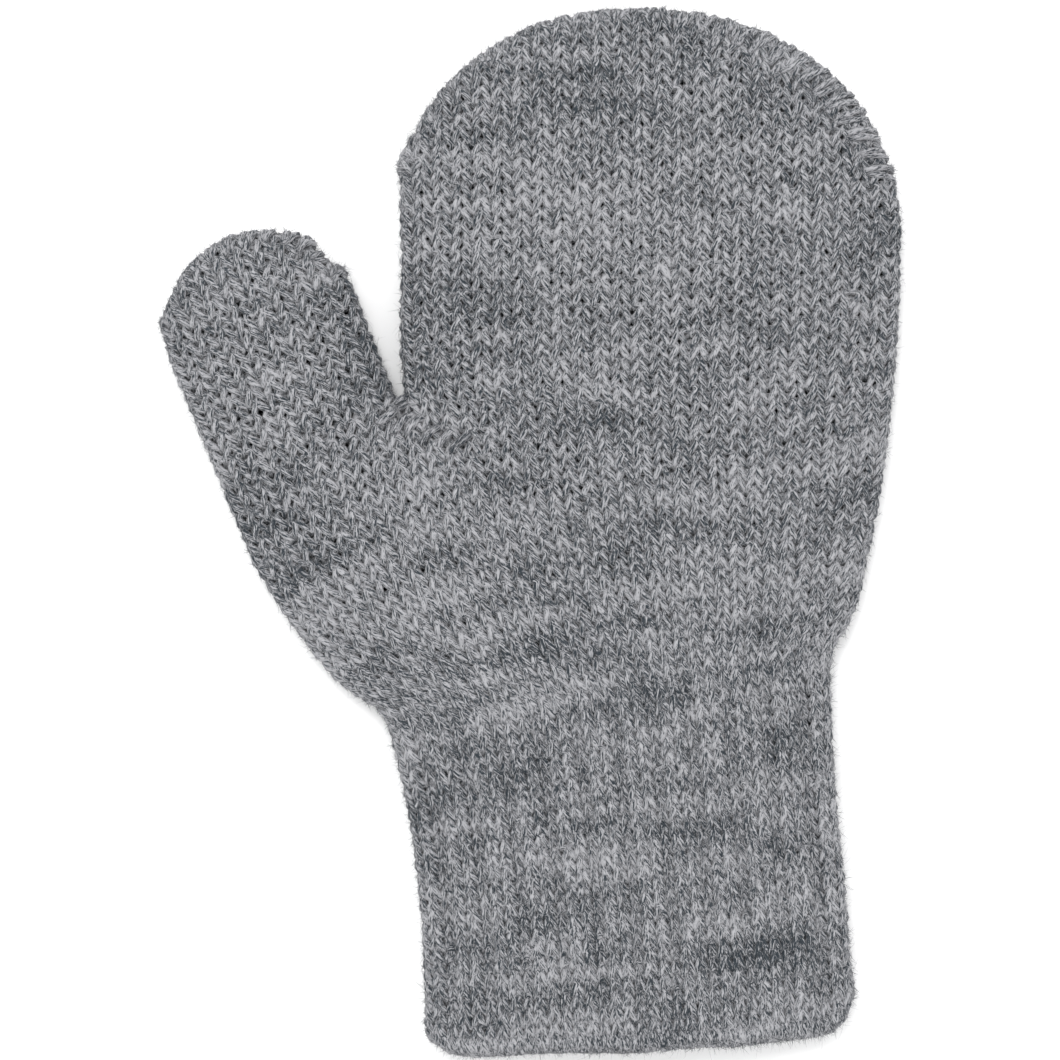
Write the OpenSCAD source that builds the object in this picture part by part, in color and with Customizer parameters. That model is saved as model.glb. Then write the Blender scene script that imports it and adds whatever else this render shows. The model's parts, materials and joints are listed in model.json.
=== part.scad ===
// Child's knitted mitten, lying flat on its back with the thumb to one side.
// The fabric is one flattened tube that branches into a finger pouch and a thumb.
// Each length of tube between two folds is a node of its own, and so is each fold,
// seam, knot and thread. X runs across the hand, Y towards the finger tip, Z up.

/* [Fabric] */
// Height of the mitten lying flat: two layers of fabric and the hollow between them
mitten_h = 10.6; // [10.4:0.1:12]
// Thickness of one layer of knitted fabric
fabric_t = 1.9; // [1.5:0.1:1.9]
// Thickness of the turned-in layer inside the cuff's mouth
facing_t = 1.1; // [0.8:0.1:1.1]

/* [Finger pouch] */
// Width across the finger pouch
pouch_w = 72; // [68:1:76]
// Distance from the wrist crease to the finger tip
hand_len = 97.6; // [92:0.2:104]
// Length of the domed part of the finger pouch
dome_len = 31; // [28:1:33]
// Distance from the wrist crease to the fork between thumb and hand
fork_y = 40; // [38:1:42]
// Distance from the wrist crease to the knuckle fold
knuckle_y = 45.6; // [45.6:0.2:47]
// Distance from the wrist crease to the fold half way up the fingers
finger_fold_y = 71; // [70:0.5:73]

/* [Thumb] */
// Width across the thumb
thumb_w = 28.4; // [26:0.2:29]
// Distance from the fork to the thumb's tip, along the thumb
thumb_len = 32.4; // [31:0.2:36]
// Length of the domed part of the thumb
thumb_dome_len = 15.6; // [14:0.2:15.6]
// Angle between the thumb and the hand
thumb_angle = 22.8; // [21:0.2:25]

/* [Wrist and cuff] */
// Width across the wrist crease
wrist_w = 64.6; // [62:0.2:67]
// Slant of the wrist crease, rising towards the side away from the thumb
wrist_slant = 8.2; // [6:0.2:10]
// Distance from the middle of the wrist crease to the cuff's edge
cuff_len = 52.4; // [50:0.2:58]
// Width across the cuff's edge
cuff_w = 61.4; // [60:0.2:62]
// Depth of the turned-in layer inside the cuff's mouth
facing_len = 12; // [8:0.5:14]
// Thickness of an elastic thread
elastic_t = 0.5; // [0.4:0.05:0.6]

/* [Hidden] */

yarn_grey = [0.52, 0.525, 0.54];
seam_grey = [0.40, 0.405, 0.42];
elastic_white = [0.85, 0.85, 0.83];

half_h = mitten_h / 2;
arc_steps = 6;
fold_gap = 0.3;
pass = 1;

// Half lengths of the folds: a fold of angle a needs half_h * tan(a / 2) on each side.
wrist_half = half_h * tan(35) + fold_gap;
finger_half = half_h * tan(45) + fold_gap;
thumb_half = half_h * tan(40) + fold_gap;
swing_half = 2.3;

// Side folds of the finger pouch, and the middle of the wrist crease
pouch_left = -pouch_w / 2;
pouch_right = pouch_w / 2;
pouch_dome_y = hand_len - dome_len;
wrist_mid = [-5.5, 0];
wrist_along = [cos(wrist_slant), sin(wrist_slant)];
wrist_up = [-sin(wrist_slant), cos(wrist_slant)];
wrist_left = wrist_mid - wrist_along * wrist_w / 2;
wrist_right = wrist_mid + wrist_along * wrist_w / 2;

// The thumb's own directions, and the middle of its base line through the fork
fork = [pouch_left + 0.7, fork_y];
thumb_along = [cos(thumb_angle), sin(thumb_angle)];
thumb_up = [-sin(thumb_angle), cos(thumb_angle)];
thumb_base = fork - thumb_along * thumb_w / 2;
thumb_dome_w = thumb_len - thumb_dome_len;
swing_at = 2;
root_at = swing_at + swing_half;
thumb_fold_at = thumb_dome_w - thumb_half + 0.5;

// The cuff's edge is level on the thumb side and rises at the other side.
hem_left = [-32.4, -cuff_len + 0.4];
hem_right = [hem_left[0] + cuff_w, -cuff_len + 4.2];
hem_h = 1.6;
facing_gap = 0.12;
mouth_wall = fabric_t + facing_gap + facing_t;

// Gusset: the side fold that widens from the wrist to the thumb
gusset_r = 51.7;
gusset_turn = 27;
gusset_top = -11.7;
gusset_steps = 6;

// Middle of the whole outline, which the origin stands under
centre = [-17.28, 22.82];

function unit(v) = v / norm(v);
function mix(a, b, t) = a + (b - a) * t;
function thumb_point(across, up) = thumb_base + thumb_along * across + thumb_up * up;

// Cross-section of a flattened tube that stands on the line between its two side folds
function ring(left, right, inset, height = half_h) =
    let (along = unit(right - left),
         middle = (left + right) / 2,
         half_w = norm(right - left) / 2 - inset,
         r_up = height - inset,
         r_side = min(r_up, half_w - 0.02),
         straight = half_w - r_side)
    [for (i = [0 : 2 * arc_steps + 1])
        let (side = i <= arc_steps ? 1 : -1,
             a = -90 + 180 * (i % (arc_steps + 1)) / arc_steps,
             out = side * (straight + r_side * cos(a)))
        [middle[0] + along[0] * out, middle[1] + along[1] * out, half_h + side * r_up * sin(a)]];

// Rings along a tube, from a list of [left, right] pairs of side-fold points
function rings(pairs, inset) = [for (p = pairs) ring(p[0], p[1], inset)];

// Pairs moved a little past both ends, so that a cut goes right through
function past_ends(pairs, gap) =
    let (last = len(pairs) - 1,
         before = [pairs[0][0] + unit(pairs[0][0] - pairs[1][0]) * gap,
                   pairs[0][1] + unit(pairs[0][1] - pairs[1][1]) * gap],
         after = [pairs[last][0] + unit(pairs[last][0] - pairs[last - 1][0]) * gap,
                  pairs[last][1] + unit(pairs[last][1] - pairs[last - 1][1]) * gap])
    concat([before], pairs, [after]);

function flat(lists) = [for (l = lists) for (x = l) x];

// Triangles between ring k and ring k + 1 of a tube whose first point has number start
function skin(count, n, start, outward) = flat(
    [for (k = [0 : count - 2], i = [0 : n - 1])
        let (j = (i + 1) % n,
             a = start + k * n + i,
             b = start + k * n + j,
             c = b + n,
             d = a + n)
        outward ? [[a, b, c], [a, c, d]] : [[a, c, b], [a, d, c]]]);

// Flat rim between an outer ring and an inner ring
function rim(outer, inner, n, forward) = flat(
    [for (i = [0 : n - 1])
        let (j = (i + 1) % n)
        forward ? [[outer + i, outer + j, inner + j], [outer + i, inner + j, inner + i]]
                : [[outer + i, inner + j, outer + j], [outer + i, inner + i, inner + j]]]);

// Hollow length of fabric: open at both ends, or closed at the far end
module shell(outer, inner, closed = false) {
    n = len(outer[0]);
    ko = len(outer);
    ki = len(inner);
    start = ko * n;
    last_o = (ko - 1) * n;
    last_i = start + (ki - 1) * n;
    tip = closed ? [[for (i = [0 : n - 1]) last_o + i], [for (i = [n - 1 : -1 : 0]) last_i + i]]
                 : rim(last_o, last_i, n, true);
    polyhedron(flat(concat(outer, inner)),
               concat(skin(ko, n, 0, true), skin(ki, n, start, false),
                      rim(0, start, n, false), tip));
}

// The same outline filled in
module filled(outer) {
    n = len(outer[0]);
    k = len(outer);
    polyhedron(flat(outer),
               concat(skin(k, n, 0, true), [[for (i = [n - 1 : -1 : 0]) i]],
                      [[for (i = [0 : n - 1]) (k - 1) * n + i]]));
}

// Round cord along a list of points in one level plane
module cord(path, r) {
    n = 8;
    last = len(path) - 1;
    filled([for (k = [0 : last])
        let (t = unit(path[min(k + 1, last)] - path[max(k - 1, 0)]))
        [for (i = [0 : n - 1])
            let (a = 360 * i / n)
            [path[k][0] - t[1] * r * cos(a), path[k][1] + t[0] * r * cos(a), half_h - r * sin(a)]]]);
}

// Short stitch of yarn across a join, on the upper face
module stitch(at, angle, length, r) {
    translate([at[0], at[1], mitten_h - r])
        rotate([0, 0, angle])
            rotate([0, 90, 0]) {
                cylinder(h = length, r = r, center = true, $fn = 16);
                translate([0, 0, length / 2])
                    sphere(r = r, $fn = 16);
                translate([0, 0, -length / 2])
                    sphere(r = r, $fn = 16);
            }
}

// Side folds of the hand between the wrist crease and the finger dome
function hand_right(y) =
    let (t = (y - wrist_right[1]) / (pouch_dome_y - wrist_right[1]))
    wrist_right[0] + (pouch_right - wrist_right[0]) * (1 - pow(max(1 - t, 0), 2.6));
function hand_left(y) = mix(wrist_left[0], fork[0], min(max(y / fork_y, 0), 1));
function hand_pair(y) = [[y > fork_y ? mix(fork[0], pouch_left, min((y - fork_y) / 8, 1))
                                     : hand_left(y), y],
                         [hand_right(y), y]];
function hand_pairs(y0, y1, steps) = [for (i = [0 : steps]) hand_pair(mix(y0, y1, i / steps))];

// Rings of the dome that closes a tube: half an ellipse in plan, rounded off in height too
function dome_rings(at, along, up, half_w, length, inset, first, steps = 9) =
    [for (i = [0 : steps])
        let (a = mix(asin(max(first, 0) / (length - inset)), 84, i / steps),
             out = (half_w - inset) * cos(a),
             y = (length - inset) * sin(a),
             drop = max(y - (length - inset - (half_h - inset)), 0) / (half_h - inset),
             high = max((half_h - inset) * sqrt(max(1 - drop * drop, 0)), 0.4),
             middle = at + up * y)
        ring(middle - along * out, middle + along * out, 0, high)];

function pouch_rings(inset, first) =
    dome_rings([0, pouch_dome_y], [1, 0], [0, 1], pouch_w / 2, dome_len, inset, first);
function thumb_rings(inset, first) =
    dome_rings(thumb_point(0, thumb_dome_w), thumb_along, thumb_up, thumb_w / 2,
               thumb_dome_len, inset, first, 8);

function thumb_pair(w) = [thumb_point(-thumb_w / 2, w), thumb_point(thumb_w / 2, w)];

// Points on the wrist crease's two sides, up towards the hand or down towards the cuff
palm_foot_left = wrist_left + wrist_up * wrist_half - wrist_along * 3.4;
palm_foot_right = wrist_right + wrist_up * wrist_half + wrist_along * 2.1;
cuff_top_left = wrist_left - wrist_up * wrist_half;
cuff_top_right = wrist_right - wrist_up * wrist_half;

// Hand part of the palm: from the wrist's slanting line to the knuckle's level one
palm_top = knuckle_y - finger_half;
palm_pairs = concat(
    [[wrist_left + wrist_up * wrist_half, palm_foot_right]],
    [for (i = [1 : 6])
        let (t = i / 6,
             y = mix(palm_foot_right[1], palm_top, t))
        [mix(wrist_left + wrist_up * wrist_half, [fork[0], palm_top], t), [hand_right(y), y]]]);

// Thumb part of the palm: its outer side fold is straight under the thumb, then turns in.
// It stands a hair above the wrist's line, so that its end isn't level with the hand part's.
gusset_lift = wrist_up * 0.05;
gusset_side = concat(
    [palm_foot_left + gusset_lift],
    [for (i = [gusset_steps - 1 : -1 : 0])
        let (a = gusset_turn * i / gusset_steps)
        thumb_point(-thumb_w / 2 + gusset_r * (1 - cos(a)), gusset_top - gusset_r * sin(a))],
    [thumb_point(-thumb_w / 2, 0)]);
gusset_pairs = [for (i = [0 : len(gusset_side) - 1])
    [gusset_side[i],
     mix(wrist_mid + wrist_up * wrist_half + gusset_lift, thumb_point(thumb_w / 2, 0),
         i / (len(gusset_side) - 1))]];

// Side folds of the cuff, from the hem up to the wrist
function cuff_pair(t) =
    [[hem_left[0] + (cuff_top_left[0] - hem_left[0]) * pow(t, 2.5), mix(hem_left[1], cuff_top_left[1], t)],
     [hem_right[0] + (cuff_top_right[0] - hem_right[0]) * pow(sin(90 * t), 2),
      mix(hem_right[1], cuff_top_right[1], t)]];
function cuff_pairs(t0, t1, steps) = [for (i = [0 : steps]) cuff_pair(mix(t0, t1, i / steps))];
cuff_side = cuff_top_left[1] - hem_left[1];
hem_t = hem_h / cuff_side;
facing_end_t = (hem_h + facing_len) / cuff_side;
stitch_row_t = facing_end_t + 0.8 / cuff_side;
elastic_count = 7;
elastic_first_t = stitch_row_t + 0.04;
elastic_last_t = 0.96;

module cuff_tube() {
    color(yarn_grey)
        shell(rings(cuff_pairs(hem_t, 1, 8), 0), rings(cuff_pairs(hem_t, 1, 8), fabric_t));
}

module cuff_hem_fold() {
    color(yarn_grey)
        shell(concat([ring(cuff_pair(0)[0], cuff_pair(0)[1], 0.7)],
                     rings(cuff_pairs(hem_t / 2, hem_t, 1), 0)),
              rings(cuff_pairs(0, hem_t, 1), mouth_wall));
}

module cuff_hem_facing() {
    facing = cuff_pairs(hem_t, facing_end_t, 3);
    color(yarn_grey)
        shell(rings(facing, fabric_t + facing_gap), rings(facing, mouth_wall));
}

module cuff_hem_stitches() {
    row = cuff_pairs(facing_end_t, stitch_row_t, 1);
    color(seam_grey)
        shell(rings(row, fabric_t), rings(row, mouth_wall));
}

// One level loop of elastic thread that hugs the inside of the cuff
module elastic_loop(t) {
    pair = cuff_pair(t);
    middle = (pair[0] + pair[1]) / 2;
    span = pair[1] - pair[0];
    r = half_h - fabric_t - facing_gap;
    straight = norm(span) / 2 - half_h;
    translate([middle[0], middle[1], half_h])
        rotate([90, 0, atan2(span[1], span[0])])
            linear_extrude(height = elastic_t, center = true)
                difference() {
                    slot(straight, r);
                    slot(straight, r - elastic_t);
                }
}

module slot(straight, r) {
    square([2 * straight, 2 * r], center = true);
    for (side = [-1, 1])
        translate([side * straight, 0])
            circle(r = r, $fn = 48);
}

module cuff_elastic_threads() {
    color(elastic_white)
        for (i = [0 : elastic_count - 1])
            elastic_loop(mix(elastic_first_t, elastic_last_t, i / (elastic_count - 1)));
}

module wrist_fold_band() {
    band = [[cuff_top_left, cuff_top_right], [wrist_left, wrist_right],
            [palm_foot_left, palm_foot_right]];
    color(yarn_grey)
        shell(rings(band, 0), rings(band, fabric_t));
}

// The hand part and the thumb part run into each other, as one skin of exactly the mitten's height.
module palm_tube() {
    color(yarn_grey)
        resize([0, 0, mitten_h])
            difference() {
                union() {
                    filled(rings(palm_pairs, 0));
                    filled(rings(gusset_pairs, 0));
                }
                filled(rings(past_ends(palm_pairs, pass), fabric_t));
                filled(rings(past_ends(gusset_pairs, pass), fabric_t));
            }
}

module thumb_crotch_stitches() {
    r = 0.9;
    color(seam_grey)
        for (i = [0 : 4])
            stitch(fork + [1.5 + 2.6 * i, -3.2 - 0.9 * i], 55, 2.4, r);
}

module knuckle_fold_band() {
    band = hand_pairs(palm_top, knuckle_y + finger_half, 4);
    color(yarn_grey)
        shell(rings(band, 0), rings(band, fabric_t));
}

module finger_sleeve() {
    sleeve = hand_pairs(knuckle_y + finger_half, finger_fold_y - finger_half, 2);
    color(yarn_grey)
        shell(rings(sleeve, 0), rings(sleeve, fabric_t));
}

module finger_fold_band() {
    low = hand_pairs(finger_fold_y - finger_half, pouch_dome_y, 1);
    first = finger_fold_y + finger_half - pouch_dome_y;
    color(yarn_grey)
        shell(concat(rings(low, 0), dome_start(first, 0)),
              concat(rings(low, fabric_t), dome_start(first, fabric_t)));
}

// Rings at the beginning of the pouch's dome, up to a given height above its foot
function dome_start(first, inset) =
    [for (t = [0.5, 1])
        let (y = first * t,
             out = (pouch_w / 2 - inset) * sqrt(1 - pow(y / (dome_len - inset), 2)))
        ring([-out, pouch_dome_y + y], [out, pouch_dome_y + y], 0, half_h - inset)];

module finger_cap() {
    first = finger_fold_y + finger_half - pouch_dome_y;
    color(yarn_grey)
        shell(pouch_rings(0, first), pouch_rings(fabric_t, first), closed = true);
}

module tip_seam() {
    first = asin((finger_fold_y + finger_half + 3 - pouch_dome_y) / dome_len);
    color(seam_grey)
        cord([for (i = [0 : 24])
                let (a = mix(first, 180 - first, i / 24))
                [pouch_w / 2 * cos(a), pouch_dome_y + dome_len * sin(a) - 1]], 1);
}

module tip_end_knots() {
    y = finger_fold_y + finger_half + 1.6;
    out = pouch_w / 2 * sqrt(1 - pow((y - pouch_dome_y) / dome_len, 2));
    color(seam_grey)
        for (side = [-1, 1])
            translate([side * out, y, half_h])
                sphere(r = 1.5, $fn = 24);
}

module thumb_swing_band() {
    band = [thumb_pair(0), thumb_pair(root_at)];
    color(yarn_grey)
        shell(rings(band, 0), rings(band, fabric_t));
}

module thumb_root_sleeve() {
    band = [thumb_pair(root_at), thumb_pair(thumb_fold_at - thumb_half)];
    color(yarn_grey)
        shell(rings(band, 0), rings(band, fabric_t));
}

module thumb_fold_band() {
    band = [thumb_pair(thumb_fold_at - thumb_half), thumb_pair(thumb_fold_at + thumb_half)];
    color(yarn_grey)
        shell(rings(band, 0), rings(band, fabric_t));
}

module thumb_cap() {
    first = thumb_fold_at + thumb_half - thumb_dome_w;
    color(yarn_grey)
        shell(thumb_rings(0, first), thumb_rings(fabric_t, first), closed = true);
}

// Point on the thumb's dome at an angle round from its outer side
function thumb_rim(a, inset) =
    thumb_point(-(thumb_w / 2 - inset) * cos(a), thumb_dome_w + (thumb_dome_len - inset) * sin(a));

module thumb_tip_seam() {
    color(seam_grey)
        cord([for (i = [0 : 14]) thumb_rim(mix(140, 40, i / 14), 0.9)], 0.9);
}

module thumb_end_knots() {
    color(seam_grey)
        for (a = [33, 141])
            translate([thumb_rim(a, 0)[0], thumb_rim(a, 0)[1], half_h])
                sphere(r = 1.4, $fn = 24);
}

translate([-centre[0], -centre[1], 0]) {
    cuff_tube();
    cuff_hem_fold();
    cuff_hem_facing();
    cuff_hem_stitches();
    cuff_elastic_threads();
    wrist_fold_band();
    palm_tube();
    thumb_crotch_stitches();
    knuckle_fold_band();
    finger_sleeve();
    finger_fold_band();
    finger_cap();
    tip_seam();
    tip_end_knots();
    thumb_swing_band();
    thumb_root_sleeve();
    thumb_fold_band();
    thumb_cap();
    thumb_tip_seam();
    thumb_end_knots();
}
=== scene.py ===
"""Child's knitted mitten, built from its yarn.

Every stitch is a real loop of yarn. A course is one closed ring of loops that runs across the upper
face, round the side fold and back across the under face. Lengths here are in millimetres in the wrist
frame, whose origin is the middle of the wrist crease's straight part; place() turns them into the
frame's metres.
"""

import json
import math

import bpy
import numpy as np
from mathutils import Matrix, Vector


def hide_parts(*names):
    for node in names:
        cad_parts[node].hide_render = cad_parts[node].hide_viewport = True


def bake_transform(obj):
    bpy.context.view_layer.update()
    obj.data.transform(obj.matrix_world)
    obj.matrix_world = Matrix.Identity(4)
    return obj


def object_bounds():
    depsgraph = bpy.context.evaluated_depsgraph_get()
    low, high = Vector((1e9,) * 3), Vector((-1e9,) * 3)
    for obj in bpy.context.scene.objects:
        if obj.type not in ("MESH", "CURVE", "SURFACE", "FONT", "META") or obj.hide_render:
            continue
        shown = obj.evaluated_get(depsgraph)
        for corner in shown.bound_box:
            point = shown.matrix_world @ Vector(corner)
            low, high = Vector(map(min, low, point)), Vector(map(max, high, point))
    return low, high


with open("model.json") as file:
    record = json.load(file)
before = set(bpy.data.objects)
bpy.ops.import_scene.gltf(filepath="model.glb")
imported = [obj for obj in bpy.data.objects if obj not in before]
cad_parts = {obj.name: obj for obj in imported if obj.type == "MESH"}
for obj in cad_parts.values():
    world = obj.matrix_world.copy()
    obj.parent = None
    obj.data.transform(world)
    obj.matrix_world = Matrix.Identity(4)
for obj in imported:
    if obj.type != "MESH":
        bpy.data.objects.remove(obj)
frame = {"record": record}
cad_low, cad_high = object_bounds()
joints = {j["name"]: j for j in frame["record"]["behaviour"]["joints"]}
rng = np.random.default_rng(7)

# ---------------------------------------------------------------- sizes
MM = 0.001
TAU = 2 * math.pi

# Yarn and stitch
YARN_WIDE = 0.56  # half of the yarn's width, in the plane of the fabric
YARN_HIGH = 0.5  # half of its height, through the fabric
LOOP_DEPTH = 0.46  # how far a loop swings to the front and the back of the fabric
LOOP_TUCK = 0.34  # how much further back its head lies than its feet
LOOP_BULGE = 1.95  # how far a loop's legs lean
LOOP_TALL = 0.84  # half of a loop's height, in courses
UNEVEN = (0.045, 0.07, 0.08, 0.07)  # how much loops vary in wale, height, course and depth
STEPS = 12  # lengths of tube in one stitch
SIDES = 6  # sides of the tube
COURSE = 1.92  # distance between courses

# The flattened tube
SKIN = 1.0  # distance from the middle of the fabric to its outer face
FOLD_R = 3.0  # radius of the side folds, at the middle of the fabric
CROWN = 2.5  # how much the upper face rises from its edges to its middle
CROWN_RUN = 12.0  # over this distance
UNFOLDED = (math.pi / 2 - 1) * FOLD_R - SKIN  # how far the unfolded fabric reaches past the outline

# Outline
POUCH_HALF = 36.0
POUCH_RIGHT = 35.8
HAND_LEN = 97.3
DOME_LEN = 30.7
FORK_Y = 40.0
FORK_IN = 0.7  # how far the fork lies inside the pouch's left side
THUMB_HALF = 14.2
THUMB_LEN = 32.4
THUMB_DOME = 15.6
WRIST_MID_X = -5.5
WRIST_W = 64.6
WRIST_TRIM = 0.6  # how much less of it lies on the right of its middle
WRIST_FOLD = 4.01
CUFF_LEN = 52.4
CUFF_W = 61.9
HEM_LEFT_X = -32.4
HEM_RISE = (0.4, 4.2)  # how far the hem's left and right ends lie above CUFF_LEN
GUSSET_R = 51.7
GUSSET_TURN = 27.0
GUSSET_TOP = -11.7
GUSSET_SLIM = 0.5  # how much the gusset is drawn in from its arc
WRIST_FLARE = 1.7  # how far the hand starts outside the wrist, on the right
WIDENING = 2.15
WRIST_STEP = (3.4, 2.6)  # how far the fold over the wrist stands out, on the left and the right
CUFF_CURVE = 2.5  # how the cuff's left side bends in towards the hem
DOME_SQUARE = 2.12
THUMB_SQUARE = 2.08
DOME_LEAN = 0.9  # the finger end leans this far towards the thumb
TOP_LEAN = 1.2  # and its very top this much further
SHOULDER = 0.6  # how far the thumb's right side bulges
# Soft corners pushed out or in: middle, way and reach
TIP_CORNER = ((-35.7, 75.3), (-0.9, 0), 2.2)
THUMB_CORNERS = [((-69.3, 52.0), (-0.7, 0.1), 2.8), ((-49.4, 64.3), (0.3, 0.4), 1.5),
                 ((-45.8, 62.0), (-0.45, -0.45), 2.0)]

# Stitch counts on each face
THUMB_WALES = 10
POUCH_WALES = 26
WALES = THUMB_WALES + POUCH_WALES
FORK_ROW = 21  # courses from the wrist to the fork
HEM_ROW = -26.3  # the cuff's edge
FACING_ROWS = 6  # courses turned in at the cuff's mouth
HEM_R = 1.05  # radius of that turn
HEM_FADE_ROW = -14  # from this course down, the courses bend with the hem
HEM_BOW = 1.1  # how far the middle of the hem hangs below its ends
HEM_WAVE = 0.25  # height of the hem's slight waves
HEM_SAGS = ((0.55, 0.7, 0.06), (0.3, 0.94, 0.05))  # where it sags more: depth, and place and reach as shares
HEM_CORNERS = ((2.2, 3.4), (4.18, 2.8))  # how far its left and right corners are rounded up, and over what
UNDER_DROP = 0.9  # how far the under layer's hem shows below the upper one's, towards the right

# Courses where one piece of fabric ends and the next begins
PALM_ROW = 8
FINGER_ROW = 31
THUMB_END_ROW = 25
POUCH_COURSES = 31  # courses above the fork
THUMB_COURSES = 18


def joint_axis(name):
    return np.array(joints[name]["axis"][:2], float)


def joint_place(name):
    return np.array(joints[name]["pos_m"][:2], float) / MM


wrist_mid = np.array([WRIST_MID_X, 0.0])
shift = joint_place("wrist_bend") - wrist_mid
wrist_along = -joint_axis("wrist_bend")
wrist_up = np.array([-wrist_along[1], wrist_along[0]])
wrist_left = wrist_mid - wrist_along * WRIST_W / 2
wrist_right = wrist_mid + wrist_along * (WRIST_W / 2 - WRIST_TRIM)
thumb_along = joint_axis("thumb_fold")
thumb_up = np.array([-thumb_along[1], thumb_along[0]])
fork = np.array([-POUCH_HALF + FORK_IN, FORK_Y])
thumb_base = fork - thumb_along * THUMB_HALF
hem_left = np.array([HEM_LEFT_X, -CUFF_LEN + HEM_RISE[0]])
hem_right = np.array([hem_left[0] + CUFF_W, -CUFF_LEN + HEM_RISE[1]])
dome_y = HAND_LEN - DOME_LEN


def place(points):
    """Millimetres in the wrist frame to metres in the frame."""
    out = np.array(points, float)
    out[..., :2] += shift
    return out * MM


def thumb_point(across, up):
    """Points across the thumb and up along it, counted from its base."""
    across, up = np.asarray(across, float), np.asarray(up, float)
    return thumb_base + across[..., None] * thumb_along + up[..., None] * thumb_up


# ---------------------------------------------------------------- outline


def smooth_line(points, spacing=0.8, window=7):
    """A line through the points with its corners rounded off."""
    points = np.array(points, float)
    run = np.concatenate([[0], np.cumsum(np.linalg.norm(np.diff(points, axis=0), axis=1))])
    count = max(int(run[-1] / spacing), 2)
    at = np.linspace(0, run[-1], count + 1)
    line = np.stack([np.interp(at, run, points[:, k]) for k in (0, 1)], axis=1)
    half = window // 2
    padded = np.concatenate([2 * line[0] - line[half:0:-1], line, 2 * line[-1] - line[-2:-2 - half:-1]])
    kernel = np.ones(window) / window
    return np.stack([np.convolve(padded[:, k], kernel, "valid") for k in (0, 1)], axis=1)


def hand_right(y):
    """Where the hand's right side lies: it widens fast above the wrist and then less and less."""
    t = np.clip((y - wrist_right[1]) / (dome_y - wrist_right[1]), 0, 1)
    foot = wrist_right[0] + WRIST_FLARE
    return foot + (POUCH_RIGHT - foot) * (1 - (1 - t) ** WIDENING)


def cuff_sides(t):
    """The cuff's left and right sides, from the hem where t is 0 to the wrist where it is 1."""
    top_left = wrist_left - wrist_up * WRIST_FOLD
    top_right = wrist_right - wrist_up * WRIST_FOLD
    left = [hem_left[0] + (top_left[0] - hem_left[0]) * t**CUFF_CURVE,
            hem_left[1] + (top_left[1] - hem_left[1]) * t]
    right = [hem_right[0] + (top_right[0] - hem_right[0]) * math.sin(t * math.pi / 2) ** 2,
             hem_right[1] + (top_right[1] - hem_right[1]) * t]
    return left, right


def make_outline():
    """The side folds as lines of points, all going up from the hem."""
    cuff = [cuff_sides(t) for t in np.linspace(0, 1, 30)]
    foot_right = wrist_right + wrist_up * WRIST_FOLD + wrist_along * WRIST_STEP[1]
    foot_left = wrist_left + wrist_up * WRIST_FOLD - wrist_along * WRIST_STEP[0]
    ys = np.linspace(foot_right[1] + 1, dome_y, 60)
    right = [c[1] for c in cuff] + [wrist_right, foot_right] + [[hand_right(y), y] for y in ys]
    turn = np.radians(np.linspace(GUSSET_TURN, 0, 24)[1:])
    slim = GUSSET_SLIM * np.sin(math.pi * turn / turn[0])
    gusset = thumb_point(slim - THUMB_HALF + GUSSET_R * (1 - np.cos(turn)),
                         GUSSET_TOP - GUSSET_R * np.sin(turn))
    left = [c[0] for c in cuff] + [wrist_left, foot_left] + list(gusset)
    left += list(thumb_point(np.full(20, -THUMB_HALF), np.linspace(0, THUMB_LEN - THUMB_DOME, 20)))
    return smooth_line(left), smooth_line(right)


left_side, right_side = make_outline()
turn = np.linspace(0, math.pi, 150)


def pushed(line, middle, way, reach):
    """The line moved by way at its middle, and less and less away from there."""
    gap = np.linalg.norm(line - np.array(middle), axis=1)
    return line + np.exp(-(gap / reach) ** 2)[:, None] * np.array(way)


def rounded(angle, squareness):
    """Across and along, from -1 to 1, on a curve a little squarer than an ellipse."""
    c, s = np.cos(angle), np.sin(angle)
    return np.sign(c) * np.abs(c) ** (2 / squareness), np.abs(s) ** (2 / squareness)


across, ahead = rounded(turn, DOME_SQUARE)
half_width = np.where(across > 0, POUCH_RIGHT, POUCH_HALF)
lean = DOME_LEAN * np.minimum(3 * np.sin(turn), 1) * (ahead > 0) + TOP_LEAN * ahead**6
dome_line = np.stack([half_width * across - lean, dome_y + DOME_LEN * ahead], axis=1)
dome_line = pushed(dome_line, *TIP_CORNER)
pouch_left = np.array([[-POUCH_HALF, dome_y], [-POUCH_HALF, 56], [-POUCH_HALF, FORK_Y + 8], fork])
thumb_dome_w = THUMB_LEN - THUMB_DOME
climb = np.linspace(0, 1, 12)
thumb_right = thumb_point(THUMB_HALF + SHOULDER * climb**2, thumb_dome_w * climb)
thumb_dome = thumb_point((THUMB_HALF + SHOULDER * (np.cos(turn) > 0)) * np.cos(turn),
                         thumb_dome_w + THUMB_DOME * rounded(turn, THUMB_SQUARE)[1])
for corner in THUMB_CORNERS:
    thumb_dome = pushed(thumb_dome, *corner)


def segments(*lines):
    """Starts and ends of the lines' segments."""
    starts = np.concatenate([line[:-1] for line in lines])
    ends = np.concatenate([line[1:] for line in lines])
    keep = np.linalg.norm(ends - starts, axis=1) > 1e-6
    return starts[keep], ends[keep]


hand_edges = segments(np.concatenate([right_side, dome_line[1:], pouch_left[1:]]), left_side[::-1])
thumb_edges = segments(np.concatenate([thumb_right, thumb_dome[1:], left_side[::-1][1:]]))


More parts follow.
